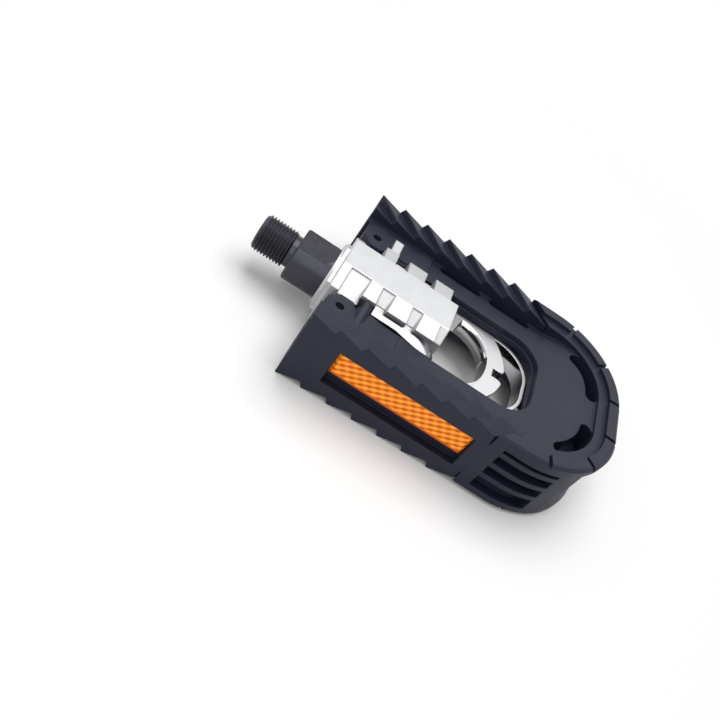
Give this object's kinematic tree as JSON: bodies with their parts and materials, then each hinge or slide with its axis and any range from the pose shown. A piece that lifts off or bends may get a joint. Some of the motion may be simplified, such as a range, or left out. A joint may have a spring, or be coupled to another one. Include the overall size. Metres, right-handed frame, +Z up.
{
  "type": "bicycle pedal",
  "caption": "Folding bicycle pedal with a black toothed cage, a pale alloy hub and sprung latch yoke, amber side reflectors and a black steel spindle",
  "frame": {"origin": "on the spindle axis, at the shoulder that meets the crank", "axes": "+X along the spindle, away from the crank; +Z up, with the cage flat and its hinge screws underneath; Y across the cage"},
  "size_m": [0.1455, 0.08, 0.0308],
  "materials": {
    "black_steel": "black oxide",
    "seal_rubber": "matte",
    "bronze": "machined",
    "bright_steel": "bright",
    "cap_plastic": "satin",
    "hub_alloy": "satin",
    "cage_plastic": "fine grain",
    "amber_lens": "ribbed",
    "yoke_alloy": "satin faces, polished walls"
  },
  "bodies": {
    "spindle": {"spindle": "black_steel", "bearing_inner_race": "bright_steel", "bearing_balls": "bright_steel", "lock_washer": "bright_steel", "lock_nut": "bright_steel"},
    "hub": {"hub_body": "hub_alloy", "lip_seal": "seal_rubber", "inner_bush": "bronze", "bearing_outer_race": "bright_steel", "dust_cap": "cap_plastic", "hinge_bush_left": "bronze", "hinge_bush_right": "bronze", "latch_spring_left": "bright_steel", "latch_spring_right": "bright_steel"},
    "cage": {"cage_frame": "cage_plastic", "reflector_left": "amber_lens", "reflector_right": "amber_lens", "hinge_pin_left": "bright_steel", "hinge_pin_right": "bright_steel", "hinge_screw_left": "bright_steel", "hinge_screw_right": "bright_steel"},
    "latch": {"latch_yoke": "yoke_alloy"}
  },
  "joints": [
    {"name": "hub_spin", "type": "hinge", "parent": "spindle", "child": "hub", "pos_m": [0.03, 0, 0], "axis": [1, 0, 0], "continuous": true},
    {"name": "cage_fold", "type": "hinge", "parent": "hub", "child": "cage", "pos_m": [0.0224, 0, 0], "axis": [0, 1, 0], "range_deg": [0, 90]},
    {"name": "latch_slide", "type": "slide", "parent": "hub", "child": "latch", "axis": [-1, 0, 0], "range_m": [0, 0.0045], "stiffness_N_per_m": 800, "springref_m": -0.005, "deforming": ["latch_spring_left", "latch_spring_right"]}
  ]
}
